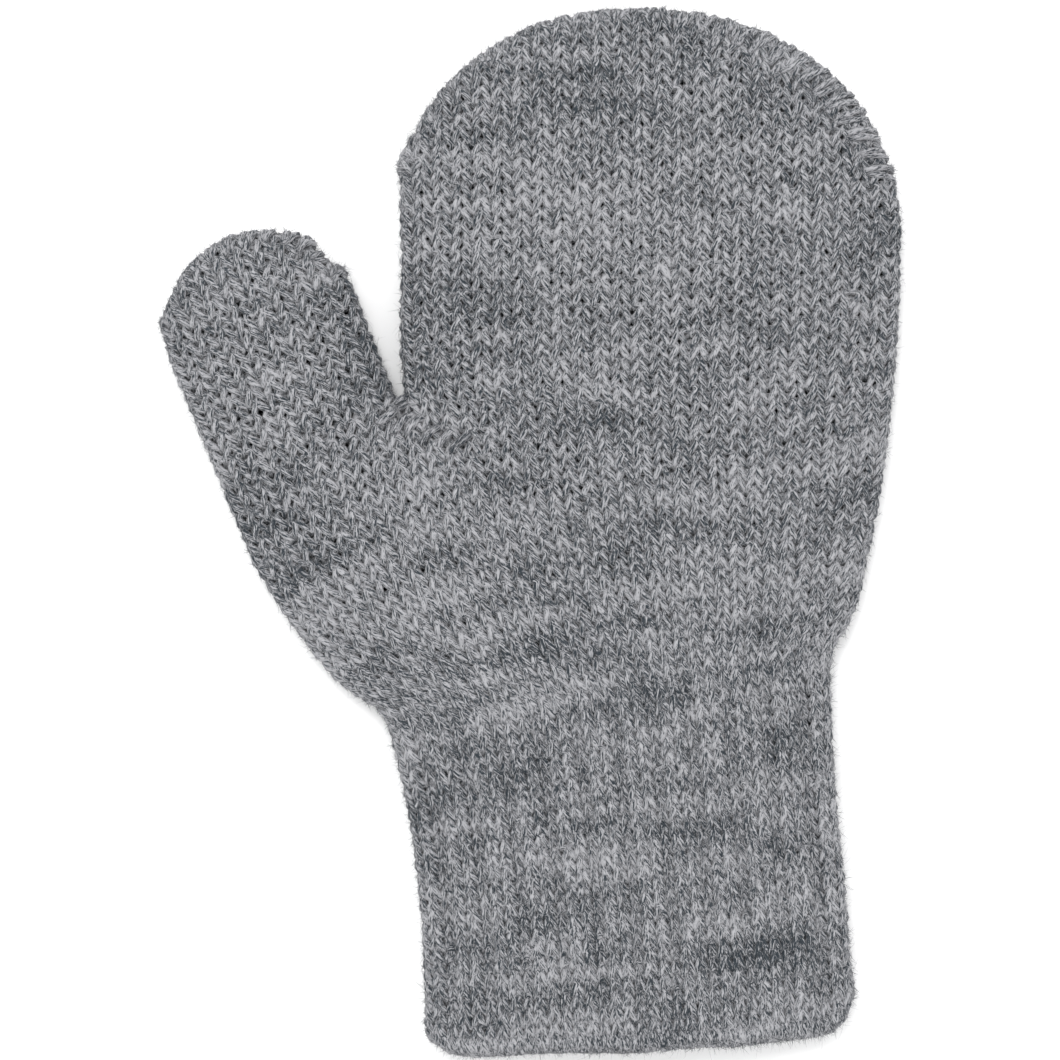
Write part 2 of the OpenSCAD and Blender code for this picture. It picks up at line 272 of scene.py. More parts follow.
def inward(points, edges):
    """Distance of each point inside the outline (negative outside), and the direction inwards."""
    starts, ends = edges
    along = ends - starts
    length2 = (along**2).sum(axis=1)
    distance, direction = np.empty(len(points)), np.empty((len(points), 2))
    for first in range(0, len(points), 4000):
        p = points[first:first + 4000]
        rel = p[:, None] - starts[None]
        t = np.clip((rel * along).sum(axis=2) / length2, 0, 1)
        gap = rel - t[..., None] * along
        gap2 = (gap**2).sum(axis=2)
        near = gap2.argmin(axis=1)
        rows = np.arange(len(p))
        gap, a = gap[rows, near], along[near]
        left_normal = np.stack([-a[:, 1], a[:, 0]], axis=1) / np.sqrt(length2[near])[:, None]
        far = np.sqrt(gap2[rows, near])
        inside = (gap * left_normal).sum(axis=1) >= 0
        inside |= np.abs(far - np.linalg.norm(p - fork, axis=1)) < 1e-4
        sign = np.where(inside, 1.0, -1.0)
        away = gap / np.maximum(far, 1e-9)[:, None] * sign[:, None]
        direction[first:first + 4000] = np.where(far[:, None] > 1e-3, away, left_normal)
        distance[first:first + 4000] = far * sign
    return distance, direction


# ---------------------------------------------------------------- lattice of stitches
# Rows are courses counted up from the wrist, and columns are wales counted from the thumb's side.


class Side:
    """Points along a side fold, by course."""

    def __init__(self, line, keys):
        self.line = line
        self.run = np.concatenate([[0], np.cumsum(np.linalg.norm(np.diff(line, axis=0), axis=1))])
        self.rows = [row for row, _ in keys]
        self.at = [self.run[np.linalg.norm(line - np.array(p), axis=1).argmin()] for _, p in keys]

    def __call__(self, row):
        row = np.asarray(row, float)
        at = np.interp(row, self.rows, self.at)
        first_rate = (self.at[1] - self.at[0]) / (self.rows[1] - self.rows[0])
        at = at + np.minimum(row - self.rows[0], 0) * first_rate
        point = np.stack([np.interp(at, self.run, self.line[:, k]) for k in (0, 1)], axis=-1)
        start = (self.line[1] - self.line[0]) / (self.run[1] - self.run[0])
        return point + np.minimum(at, 0)[..., None] * start


dome_row = FORK_ROW + (dome_y - FORK_Y) / COURSE
left_of = Side(left_side, [(HEM_ROW, hem_left), (0, wrist_left), (FORK_ROW, thumb_point(-THUMB_HALF, 0))])
right_of = Side(right_side, [(HEM_ROW, hem_right), (0, wrist_right),
                             (FORK_ROW, [hand_right(FORK_Y), FORK_Y]), (dome_row, [POUCH_RIGHT, dome_y])])

RIB_SHARE = np.array([1.3, 1.3, 0.4])  # widths of the three wales of a rib
RIB_END_ROW = 4.0  # the ribs end here
RIB_FADE = 8.0  # over so many courses
RIB_DEPTH = 0.95  # how deep every third wale lies
SPLIT_CURVE = 1.7  # bend of the line from the wrist to the fork that divides the thumb's wales
rib_widths = np.tile(RIB_SHARE, WALES // 3)
rib_widths = rib_widths / rib_widths.sum() * WALES


def ribbed(row):
    """How much of the rib there is at a course: all of it in the cuff, none in the hand."""
    t = np.clip((RIB_END_ROW - np.asarray(row, float)) / RIB_FADE, 0, 1)
    return t * t * (3 - 2 * t)


def column_share(row):
    """Share of the width at each wale's left edge."""
    widths = 1 + (rib_widths - 1) * ribbed(row)
    return np.concatenate([[0], np.cumsum(widths)]) / WALES


def soften(line, passes=3):
    """Rounds off a course where the thumb's part meets the hand's, without moving its ends."""
    for _ in range(passes):
        line[1:-1] = (line[:-2] + 2 * line[1:-1] + line[2:]) / 4
    return line


def hem_share(row):
    """How much a course follows the bends of the hem."""
    return np.clip((HEM_FADE_ROW - row) / (HEM_FADE_ROW - HEM_ROW), 0, 1) ** 2


def course_line(row):
    """Where the wales' edges lie along one course of the cuff or the palm, on the unfolded fabric."""
    left, right = left_of(row), right_of(row)
    share = column_share(row)
    across = (right - left) / np.linalg.norm(right - left)
    split = left + (right - left) * share[THUMB_WALES]  # where the thumb's wales meet the hand's
    if row > 0:
        foot = left_of(0) + (right_of(0) - left_of(0)) * column_share(0)[THUMB_WALES]
        climb = row / FORK_ROW
        split = np.array([fork[0] + (foot[0] - fork[0]) * (1 - climb) ** SPLIT_CURVE,
                          foot[1] + (fork[1] - foot[1]) * climb])
    to_split = share[:THUMB_WALES + 1] / share[THUMB_WALES]
    past = (share[THUMB_WALES:] - share[THUMB_WALES]) / (1 - share[THUMB_WALES])
    start, end = left - across * UNFOLDED, right + across * UNFOLDED
    if row > 0:
        tilt = (split - left) / np.linalg.norm(split - left)
        start = left - tilt * UNFOLDED
    line = np.concatenate([start + (split - start) * to_split[:, None],
                           (split + (end - split) * past[:, None])[1:]])
    line = soften(line)
    near_hem = hem_share(row)
    from_left, from_right = (np.linalg.norm(line - line[end], axis=1) for end in (0, -1))
    bow = HEM_BOW * np.sin(math.pi * share) * (0.6 + 0.8 * share) + HEM_WAVE * np.sin(TAU * share * 2.6)
    for depth, middle, reach in HEM_SAGS:
        bow += depth * np.exp(-((share - middle) / reach) ** 2)
    (left_rise, left_reach), (right_rise, right_reach) = HEM_CORNERS
    corner = (left_rise * np.exp(-(from_left / left_reach) ** 2)
              + right_rise * np.exp(-(from_right / right_reach) ** 2))
    return line + wrist_up * ((corner - bow) * near_hem)[:, None]


class Lattice:
    """Positions on the unfolded fabric, from course and wale."""

    def __init__(self, first_row, lines):
        self.first = first_row
        self.grid = np.array(lines)

    def __call__(self, row, col):
        row = np.clip(row - self.first, 0, len(self.grid) - 1.001)
        col = np.clip(col, 0, self.grid.shape[1] - 1.001)
        i, j = row.astype(int), col.astype(int)
        u, v = (row - i)[:, None], (col - j)[:, None]
        g = self.grid
        return ((g[i, j] * (1 - v) + g[i, j + 1] * v) * (1 - u)
                + (g[i + 1, j] * (1 - v) + g[i + 1, j + 1] * v) * u)


first_row = int(HEM_ROW) - 2
palm_lines = [course_line(row) for row in range(first_row, FORK_ROW)]


def pouch_line(row):
    """The same for a course of the finger pouch."""
    y = FORK_Y + (row - FORK_ROW) * COURSE
    lean = np.clip((y - FORK_Y) / 8, 0, 1)
    left = fork[0] + (-POUCH_HALF - fork[0]) * lean - UNFOLDED * min(lean * 3, 1)
    right = right_of(row)[0] + UNFOLDED
    xs = np.linspace(left, right, POUCH_WALES + 1)
    return np.stack([xs, np.full_like(xs, y)], axis=1)


def thumb_line(row):
    """The same for a course of the thumb."""
    w = (row - FORK_ROW) * COURSE
    right = THUMB_HALF + UNFOLDED * min(w / 3, 1)
    us = np.linspace(-THUMB_HALF - UNFOLDED, right, THUMB_WALES + 1)
    return thumb_point(us, np.full_like(us, w))


hand_lattice = Lattice(first_row, [line[THUMB_WALES:] for line in palm_lines]
                       + [pouch_line(row) for row in range(FORK_ROW, FORK_ROW + POUCH_COURSES + 3)])
thumb_lattice = Lattice(first_row, [line[:THUMB_WALES + 1] for line in palm_lines]
                        + [thumb_line(row) for row in range(FORK_ROW, FORK_ROW + THUMB_COURSES + 3)])


# ---------------------------------------------------------------- from the flat fabric to the mitten
hem_pitch = (wrist_left[1] - hem_left[1]) / -HEM_ROW


def hem_turn(row):
    """Rows at the cuff's mouth turn in: the row that a point lies under, and the angle turned."""
    v = (row - HEM_ROW) * hem_pitch - SKIN + HEM_R * (math.pi / 2 - 1)
    angle = np.clip(math.pi / 2 - v / HEM_R, 0, math.pi)
    back = np.maximum(-v - HEM_R * math.pi / 2, 0)
    ahead = np.maximum(v - HEM_R * math.pi / 2, 0)
    reach = HEM_R * (1 - np.sin(angle)) + back + ahead
    return HEM_ROW + (reach + SKIN) / hem_pitch, angle


def rib_recess(row, col):
    """Every third wale of the cuff lies deeper than the others."""
    third = np.mod(col, 3) - 2.5
    from_hem = np.clip((row - HEM_ROW - 0.5) / 4, 0, 1)
    return RIB_DEPTH * ribbed(row) * np.exp(-(third / 0.6) ** 2) * from_hem


def fold_over(flat, inside, into, out, face, angle=0.0):
    """Takes points of the unfolded fabric, and their height over its middle, to the mitten.

    face is 1 on the upper face and -1 on the under face, and angle is how far the hem has turned in there.
    Gives the points, the normals and how far past the side fold each point is.
    """
    arc = inside + UNFOLDED
    bend = np.clip(arc / FOLD_R, -math.pi / 2, math.pi / 2)
    past = np.maximum(arc - FOLD_R * math.pi / 2, 0)
    left = 1 - np.minimum(past / CROWN_RUN, 1)
    face = np.zeros(len(flat)) + face
    crown = np.where(face > 0, CROWN, 0.0)
    target = SKIN + FOLD_R * (1 - np.cos(bend)) + past
    xy = flat + into * (target - inside)[:, None]
    z = SKIN + FOLD_R + face * FOLD_R * np.sin(bend) + crown * (1 - left**2)
    tilt = np.where(past > 0, crown * 2 * left / CROWN_RUN, 0)
    normal = np.concatenate([-into * (np.cos(bend) + tilt)[:, None], (face * np.sin(bend))[:, None]], axis=1)
    normal /= np.linalg.norm(normal, axis=1)[:, None]
    down = np.array([-wrist_up[0], -wrist_up[1], 0])
    angle = np.zeros(len(flat)) + angle
    lift = out * np.cos(angle) - HEM_R * (1 - np.cos(angle))
    point = np.concatenate([xy, z[:, None]], axis=1) + normal * lift[:, None]
    point += down * (out * np.sin(angle))[:, None]
    facing = normal * np.cos(angle)[:, None] + down * np.sin(angle)[:, None]
    return point, facing, arc


def on_fabric(row, col, out, face):
    """The same for points given by course and wale."""
    under, angle = hem_turn(row)
    flat, inside, into = np.empty((len(row), 2)), np.empty(len(row)), np.empty((len(row), 2))
    thumb = col < THUMB_WALES
    for mine, lattice, edges, first in ((thumb, thumb_lattice, thumb_edges, 0),
                                        (~thumb, hand_lattice, hand_edges, THUMB_WALES)):
        if mine.any():
            flat[mine] = lattice(under[mine], col[mine] - first)
            inside[mine], into[mine] = inward(flat[mine], edges)
    if face < 0:
        drop = UNDER_DROP * hem_share(under) * np.clip(np.sin(TAU * (col / WALES - 0.5)), 0, 1)
        flat = flat - wrist_up * drop[:, None]
    return fold_over(flat, inside, into, out - rib_recess(under, col), face, angle)


# ---------------------------------------------------------------- yarn tone


def noise_field(rows, cols, seed):
    """Smooth noise over courses and wales, with rows and cols points, as a function."""
    values = np.random.default_rng(seed).normal(size=(rows + 2, cols + 2))

    def at(row, col):
        row, col = np.mod(row, rows), np.mod(col, cols)
        i, j = row.astype(int), col.astype(int)
        u, v = row - i, col - j
        u, v = u * u * (3 - 2 * u), v * v * (3 - 2 * v)
        return ((values[i, j] * (1 - v) + values[i, j + 1] * v) * (1 - u)
                + (values[i + 1, j] * (1 - v) + values[i + 1, j + 1] * v) * u)

    return at


BROAD_TONE, MIDDLING_TONE, FINE_TONE = 0.11, 0.18, 0.11
UNDER_SHIFT = 53  # wales between the tones of the two faces
broad, middling, fine = noise_field(40, 12, 1), noise_field(97, 31, 2), noise_field(211, 150, 3)


def yarn_tone(row, col, face):
    """Lightness of the yarn: streaks along the courses, a few wales long and one to three courses high."""
    col = col + (0 if face > 0 else UNDER_SHIFT)
    return (0.5 + BROAD_TONE * broad(row / 3.2 + 30, col / 12)
            + MIDDLING_TONE * middling(row / 1.2 + 40, col / 5) + FINE_TONE * fine(row + 50, col * 1.1))


# ---------------------------------------------------------------- mesh building


class Yarn:
    """Tubes and loose fibres gathered for one piece."""

    def __init__(self):
        self.tubes = []
        self.tufts = []

    def add(self, points, normals, tone, closed, wide=YARN_WIDE, high=YARN_HIGH):
        self.tubes.append((points, normals, tone, closed, wide, high))

    def steps(self):
        return sum(len(tube[0]) for tube in self.tubes)


def tube_frames(points, normals, closed):
    """The directions along, across and up at each point of a tube."""
    if closed:
        ahead, behind = np.roll(points, -1, axis=0), np.roll(points, 1, axis=0)
    else:
        ahead = np.concatenate([points[1:], 2 * points[-1:] - points[-2:-1]])
        behind = np.concatenate([2 * points[:1] - points[1:2], points[:-1]])
    tangent = ahead - behind
    tangent /= np.linalg.norm(tangent, axis=1)[:, None] + 1e-12
    across = np.cross(normals, tangent)
    across /= np.linalg.norm(across, axis=1)[:, None] + 1e-12
    return tangent, across, np.cross(tangent, across)


# Loose fibres: points along one, radius, typical length, its spread and limits, how far it stands off,
# and how much its lightness varies and differs from the yarn's
SHORT_FIBRE = (3, 0.03, -0.3, 0.4, (0.35, 1.5), 1.2, 0.95, 0.04)
LONG_FIBRE = (4, 0.016, 0.35, 0.4, (0.8, 3.0), 0.9, 0.3, 0.35)

FIBRE_SPREAD = 0.95  # how far round the yarn the fibres sit from its outer side, in radians
STRAY = 0.27  # how much they stray from the yarn's direction
CURL = 0.33
DROOP = 0.45  # how much they bend back to the yarn


def add_fibres(yarn, count, kind, draw):
    """Loose fibres that stand off the yarn, mostly along it."""
    points_each, radius, middle, spread, limits, lift, contrast, paler = kind
    frames = [tube_frames(*tube[:2], tube[3]) for tube in yarn.tubes]
    points, tones = (np.concatenate([tube[k] for tube in yarn.tubes]) for k in (0, 2))
    high = np.concatenate([np.broadcast_to(tube[5], len(tube[0])) for tube in yarn.tubes])
    tangent, across, up = (np.concatenate([f[k] for f in frames]) for k in range(3))
    pick = draw.integers(0, len(points), count)
    around = draw.normal(math.pi / 2, FIBRE_SPREAD, count)
    radial = np.cos(around)[:, None] * across[pick] + np.sin(around)[:, None] * up[pick]
    root = points[pick] + radial * (high[pick] * 0.85)[:, None]
    ahead = tangent[pick] * draw.choice([-1.0, 1.0], count)[:, None]
    way = ahead + radial * draw.uniform(0.0, lift, count)[:, None] + draw.normal(0, STRAY, (count, 3))
    way /= np.linalg.norm(way, axis=1)[:, None]
    length = np.clip(draw.lognormal(middle, spread, count), *limits)
    bend = draw.normal(0, CURL, (count, 3)) - radial * draw.uniform(0, DROOP, count)[:, None]
    shade = tones[pick] + contrast * draw.uniform(-1, 1, count) + paler
    yarn.tufts.append((points_each, radius, root, way, bend, length, shade))


LUMPS = 0.08  # unevenness of the yarn's surface
TUBE_SHARE = 0.9  # of the bake layer's height that the tubes take, and the fibres the rest
TWIST = 0.5  # turns of the yarn's fibres, in radians for a millimetre
LOWEST = 0.09  # height of the lowest fibres over the floor
FLOOR_GAP = 0.02  # and of the yarn, flattened where it lies on it
TIP_UV = [[0.996, 0.0], [1.0, 0.0], [1.0, 0.002]]  # where the tubes' ends lie on the bake layer


class Soup:
    """Faces gathered for one mesh, with the values that its material reads."""

    def __init__(self):
        self.count = 0
        self.verts, self.tones, self.ways = [], [], []
        self.faces = {4: [], 3: []}
        self.uvs = {4: [], 3: []}

    def points(self, verts, tones, ways):
        """Adds points and gives the number of the first."""
        self.verts.append(verts)
        self.tones.append(tones)
        self.ways.append(ways)
        self.count += len(verts)
        return self.count - len(verts)

    def add(self, faces, uvs):
        corners = faces.shape[-1]
        self.faces[corners].append(faces.reshape(-1, corners))
        self.uvs[corners].append(uvs.reshape(-1, 2))


def add_tube(soup, tube, cells, done):
    """One tube of yarn. Its steps take cells of the bake layer from number done."""
    points, normals, shade, closed, wide, high = tube
    n = len(points)
    ring = np.arange(SIDES)
    angle = TAU * ring / SIDES
    tangent, across, up = tube_frames(points, normals, closed)
    wide, high = np.zeros(n) + wide, np.zeros(n) + high
    offset = (np.cos(angle)[None, :, None] * (across * wide[:, None])[:, None]
              + np.sin(angle)[None, :, None] * (up * high[:, None])[:, None])
    offset *= rng.normal(1, LUMPS, (n, SIDES))[..., None]
    step = np.linalg.norm(np.diff(points, axis=0, append=points[:1]), axis=1)
    run = np.concatenate([[0], np.cumsum(step)[:-1]]) + rng.uniform(0, 500)
    twist = angle[None] + run[:, None] * TWIST
    along = np.broadcast_to(run[:, None], twist.shape)
    ways = np.stack([along, np.cos(twist) * YARN_WIDE, np.sin(twist) * YARN_WIDE], axis=-1)
    verts = (points[:, None] + offset).reshape(-1, 3)
    first = soup.points(verts, np.repeat(shade, SIDES), ways.reshape(-1, 3))
    i = np.arange(n if closed else n - 1)[:, None]
    j = (i + 1) % n
    beside = (ring + 1) % SIDES
    corners = [i * SIDES + ring, i * SIDES + beside, j * SIDES + beside, j * SIDES + ring]
    quads = first + np.stack(corners, axis=-1)
    columns, rows = cells
    left, row = (done + i[:, 0]) % columns, (done + i[:, 0]) // columns
    us = np.stack([left, left, left + 1, left + 1], axis=1) / columns
    low, top = ring / SIDES * 0.95, (ring + 1) / SIDES * 0.95
    vs = (row[:, None, None] + np.stack([low, top, top, low], axis=1)[None]) / rows * TUBE_SHARE
    soup.add(quads, np.stack([np.broadcast_to(us[:, None], vs.shape), vs], axis=-1))
    if not closed:
        tips = (points[0] - tangent[0] * high[0], points[-1] + tangent[-1] * high[-1])
        for end, tip in zip((0, n - 1), tips):
            apex = soup.points(tip[None], shade[end:end + 1], ways[end, :1])
            a, b = first + end * SIDES + ring, first + end * SIDES + beside
            around = (b, a) if end == 0 else (a, b)
            soup.add(np.stack([np.full(SIDES, apex), *around], axis=1),
                     np.tile(TIP_UV, (SIDES, 1)))


def add_tuft(soup, tuft, cells, done):
    """Loose fibres: thin three-sided tubes that taper to a point."""
    points_each, radius, root, way, bend, length, shade = tuft
    count, rings = len(root), points_each - 1
    at = np.linspace(0, 1, points_each)
    curve = (root[:, None] + way[:, None] * (length[:, None] * at)[..., None]
             + bend[:, None] * (length[:, None] * at**2)[..., None])
    curve[..., 2] = np.maximum(curve[..., 2], LOWEST)
    side = np.cross(way, np.array([0.3, 0.5, 0.8]))
    side /= np.linalg.norm(side, axis=1)[:, None] + 1e-9
    other = np.cross(way, side)
    corner = TAU * np.arange(3) / 3
    round_it = np.cos(corner)[:, None] * side[:, None] + np.sin(corner)[:, None] * other[:, None]
    thick = radius * (1 - 0.35 * np.arange(rings) / rings)
    body = curve[:, :rings, None] + round_it[:, None] * thick[:, None, None]
    size = 3 * rings + 1
    verts = np.concatenate([body.reshape(count, 3 * rings, 3), curve[:, rings:]], axis=1)
    ways = np.zeros((count, size, 3))
    ways[..., 0] = rng.uniform(0, 500, count)[:, None]
    first = soup.points(verts.reshape(-1, 3), np.repeat(shade, size), ways.reshape(-1, 3))
    base = first + size * np.arange(count)[:, None, None]
    c, d = np.arange(3), (np.arange(3) + 1) % 3
    layer = 3 * np.arange(rings - 1)[:, None]
    quads = np.stack([layer + c, layer + d, layer + 3 + d, layer + 3 + c], axis=-1).reshape(-1, 4)
    top = 3 * (rings - 1)
    tips = np.stack([top + c, top + d, np.full(3, size - 1)], axis=-1)
    columns, rows = cells
    number = done + np.arange(count)
    cell = np.array([1 / columns, (1 - TUBE_SHARE) / rows])
    corner_uv = np.stack([number % columns, number // columns], axis=1) * cell + [0, TUBE_SHARE + 0.002]
    square = np.array([[0, 0], [0.6, 0], [0.6, 0.6], [0, 0.6]]) * cell
    for faces in (quads, tips):
        corners = faces.shape[1]
        uvs = np.repeat((corner_uv[:, None] + square[:corners])[:, None], len(faces), axis=1)
        soup.add(base + faces, uvs)


def build_mesh(name, yarn, material):
    """One mesh of all tubes and fibres of a piece."""
    soup = Soup()
    steps = yarn.steps()
    rows = int(math.sqrt(steps / 5.8)) + 2
    cells = (steps // (rows - 1) + 1, rows)
    done = 0
    for tube in yarn.tubes:
        add_tube(soup, tube, cells, done)
        done += len(tube[0])
    fibres = sum(len(tuft[2]) for tuft in yarn.tufts)
    columns = int(math.sqrt(fibres * 10)) + 1
    cells = (columns, fibres // columns + 2)
    done = 0
    for tuft in yarn.tufts:
        add_tuft(soup, tuft, cells, done)
        done += len(tuft[2])
    quads = np.concatenate(soup.faces[4])
    tris = np.concatenate(soup.faces[3] or [np.zeros((0, 3), int)])
    mesh = bpy.data.meshes.new(name)
    mesh.vertices.add(soup.count)
    verts = np.concatenate(soup.verts)
    verts[:, 2] = np.maximum(verts[:, 2], FLOOR_GAP)
    mesh.vertices.foreach_set("co", place(verts).astype(np.float32).ravel())
    corners = np.concatenate([quads.ravel(), tris.ravel()]).astype(np.int32)
    mesh.loops.add(len(corners))
    mesh.loops.foreach_set("vertex_index", corners)
    starts = np.concatenate([4 * np.arange(len(quads)), 4 * len(quads) + 3 * np.arange(len(tris))])
    mesh.polygons.add(len(starts))
    mesh.polygons.foreach_set("loop_start", starts.astype(np.int32))
    bake = mesh.uv_layers.new(name="OFBake")
    bake.data.foreach_set("uv", np.concatenate(soup.uvs[4] + soup.uvs[3]).astype(np.float32).ravel())
    tone = mesh.attributes.new("tone", "FLOAT", "POINT")
    tone.data.foreach_set("value", np.concatenate(soup.tones).astype(np.float32))
    way = mesh.attributes.new("fibre", "FLOAT_VECTOR", "POINT")
    way.data.foreach_set("vector", np.concatenate(soup.ways).astype(np.float32).ravel())
    mesh.update(calc_edges=True)
    mesh.shade_smooth()
    mesh.materials.append(material)
    piece = bpy.data.objects.new(name, mesh)
    bpy.context.scene.collection.objects.link(piece)
    return piece


# ---------------------------------------------------------------- courses of loops


def course_path(row, first, last, draw, way=1):
    """One course across a face: course and wale of each point, and its swing through the fabric. Its loops
    stand upside down where way is -1."""
    count = last - first
    t = np.linspace(0, TAU * count, count * STEPS + 1)
    wale = t / TAU
    knots = np.arange(count * 2 + 1) / 2
    wobble = [np.interp(wale, knots, draw.normal(0, 1, len(knots))) for _ in range(4)]
    ends = np.minimum(np.minimum(wale, count - wale), 1)
    col = first + wale + LOOP_BULGE * np.sin(2 * t) / TAU + UNEVEN[0] * wobble[0] * ends
    at = row + way * LOOP_TALL * (1 + UNEVEN[1] * wobble[1]) * np.cos(t) + UNEVEN[2] * wobble[2]
    out = -LOOP_DEPTH * np.cos(2 * t) + way * LOOP_TUCK * np.cos(t) + UNEVEN[3] * wobble[3]
    return at, col, out


def add_course(yarn, row, first, last, draw, clipped=False, way=1):
    """A ring of loops: across the upper face and back along the same line on the under face."""
    at, col, out = course_path(row, first, last, draw, way)
    upper, up_normal, arc = on_fabric(at, col, out, 1)
    lower, down_normal, _ = on_fabric(at, col, out, -1)
    thick = np.interp(np.linspace(0, 1, len(at)), np.linspace(0, 1, 3 * (last - first)),
                      draw.normal(1, 0.06, 3 * (last - first)))
    runs = [np.arange(len(at))]
    if clipped:
        inside = np.flatnonzero(arc >= 0)
        runs = [r for r in np.split(inside, np.flatnonzero(np.diff(inside) > 1) + 1) if len(r) > 4]
    for run in runs:
        back = run[-2:0:-1]
        points = np.concatenate([upper[run], lower[back]])
        normals = np.concatenate([up_normal[run], down_normal[back]])
        middle = (at + row) / 2
        tone = np.concatenate([yarn_tone(middle[run], col[run], 1), yarn_tone(middle[back], col[back], -1)])
        girth = thick[np.concatenate([run, back])]
        yarn.add(points, normals, tone, True, YARN_WIDE * girth, YARN_HIGH * girth)


MOST_STEPS = 260 * STEPS  # in one piece
FUZZ = {"short": 3.1, "long": 0.5}  # loose fibres for each step of yarn


def furry(yarn, seed, more=1.0):
    """Adds the yarn's loose fibres."""
    draw = np.random.default_rng(seed)
    add_fibres(yarn, int(yarn.steps() * FUZZ["short"] * more), SHORT_FIBRE, draw)
    add_fibres(yarn, int(yarn.steps() * FUZZ["long"] * more), LONG_FIBRE, draw)


def knit(name, rows, first, last, material, replaces, clip_from=None, upside_down=()):
    """Knits the courses into pieces of at most about MOST_STEPS steps each.

    From course clip_from up the loops past the outline are left out.
    """
    draw = np.random.default_rng(sum(map(ord, name)))
    batches = [Yarn()]
    for row in rows:
        if batches[-1].steps() > MOST_STEPS:
            batches.append(Yarn())
        clipped = clip_from is not None and row >= clip_from
        add_course(batches[-1], row, first, last, draw, clipped, -1 if row in upside_down else 1)
    batches = [batch for batch in batches if batch.tubes]
    for number, batch in enumerate(batches):
        furry(batch, 100 + number)
        piece = build_mesh(f"{name}_{number + 1}", batch, material)
        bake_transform(piece)
    for node in replaces:
        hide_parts(node)


# ---------------------------------------------------------------- materials


STREAKS = 7.5  # contrast of the fibres in the yarn


def wool(name, dark, light, streak_scale=(1.0, 5.6, 5.6)):
    """Melange wool: pale and dark fibres that run along the yarn, toned by the yarn's own lightness."""
    material = bpy.data.materials.new(name)
    material.use_nodes = True
    nodes, links = material.node_tree.nodes, material.node_tree.links
    shader = nodes["Principled BSDF"]
    shader.inputs["Roughness"].default_value = 0.92
    shader.inputs["Specular IOR Level"].default_value = 0.18
    shader.inputs["Sheen Weight"].default_value = 0.12
    shader.inputs["Sheen Roughness"].default_value = 0.5
    way = nodes.new("ShaderNodeAttribute")
    way.attribute_name = "fibre"
    tone = nodes.new("ShaderNodeAttribute")
    tone.attribute_name = "tone"
    stretch = nodes.new("ShaderNodeMapping")
    stretch.inputs["Scale"].default_value = streak_scale
    links.new(way.outputs["Vector"], stretch.inputs["Vector"])
    streak = nodes.new("ShaderNodeTexNoise")
    streak.inputs["Scale"].default_value = 1.0
    streak.inputs["Detail"].default_value = 2.0
    streak.inputs["Roughness"].default_value = 0.65
    links.new(stretch.outputs["Vector"], streak.inputs["Vector"])
    spread = nodes.new("ShaderNodeMath")
    spread.operation = "MULTIPLY_ADD"
    spread.inputs[1].default_value = STREAKS
    spread.inputs[2].default_value = -STREAKS / 2
    links.new(streak.outputs["Fac"], spread.inputs[0])
    total = nodes.new("ShaderNodeMath")
    total.operation = "ADD"
    links.new(spread.outputs[0], total.inputs[0])
    links.new(tone.outputs["Fac"], total.inputs[1])
    ramp = nodes.new("ShaderNodeValToRGB")
    ramp.color_ramp.elements[0].color = (*dark, 1)
    ramp.color_ramp.elements[1].color = (*light, 1)
    links.new(total.outputs[0], ramp.inputs["Fac"])
    links.new(ramp.outputs["Color"], shader.inputs["Base Color"])
    bump = nodes.new("ShaderNodeBump")
    bump.inputs["Strength"].default_value = 0.8
    bump.inputs["Distance"].default_value = 0.0002
    links.new(streak.outputs["Fac"], bump.inputs["Height"])
    links.new(bump.outputs["Normal"], shader.inputs["Normal"])
    return material


def covered_elastic(name, pale, dark):
    """Elastic thread wound with fine pale yarn."""
    material = bpy.data.materials.new(name)
    material.use_nodes = True
    nodes, links = material.node_tree.nodes, material.node_tree.links
    shader = nodes["Principled BSDF"]
    shader.inputs["Roughness"].default_value = 0.7
    way = nodes.new("ShaderNodeAttribute")
    way.attribute_name = "fibre"
    winding = nodes.new("ShaderNodeTexWave")
    winding.inputs["Scale"].default_value = 1.6
    winding.inputs["Distortion"].default_value = 1.0
    links.new(way.outputs["Vector"], winding.inputs["Vector"])
    ramp = nodes.new("ShaderNodeValToRGB")
    ramp.color_ramp.elements[0].color = (*dark, 1)
    ramp.color_ramp.elements[1].color = (*pale, 1)
    links.new(winding.outputs["Fac"], ramp.inputs["Fac"])
    links.new(ramp.outputs["Color"], shader.inputs["Base Color"])
    bump = nodes.new("ShaderNodeBump")
    bump.inputs["Strength"].default_value = 0.5
    bump.inputs["Distance"].default_value = 0.0001
    links.new(winding.outputs["Fac"], bump.inputs["Height"])
    links.new(bump.outputs["Normal"], shader.inputs["Normal"])
    return material


knit_wool = wool("melange_wool", (0.026, 0.033, 0.040), (0.352, 0.353, 0.369))
seam_wool = wool("seam_wool", (0.025, 0.031, 0.038), (0.345, 0.346, 0.362))
elastic_wound = covered_elastic("covered_elastic", (0.62, 0.62, 0.60), (0.42, 0.42, 0.41))


# ---------------------------------------------------------------- the pieces of fabric


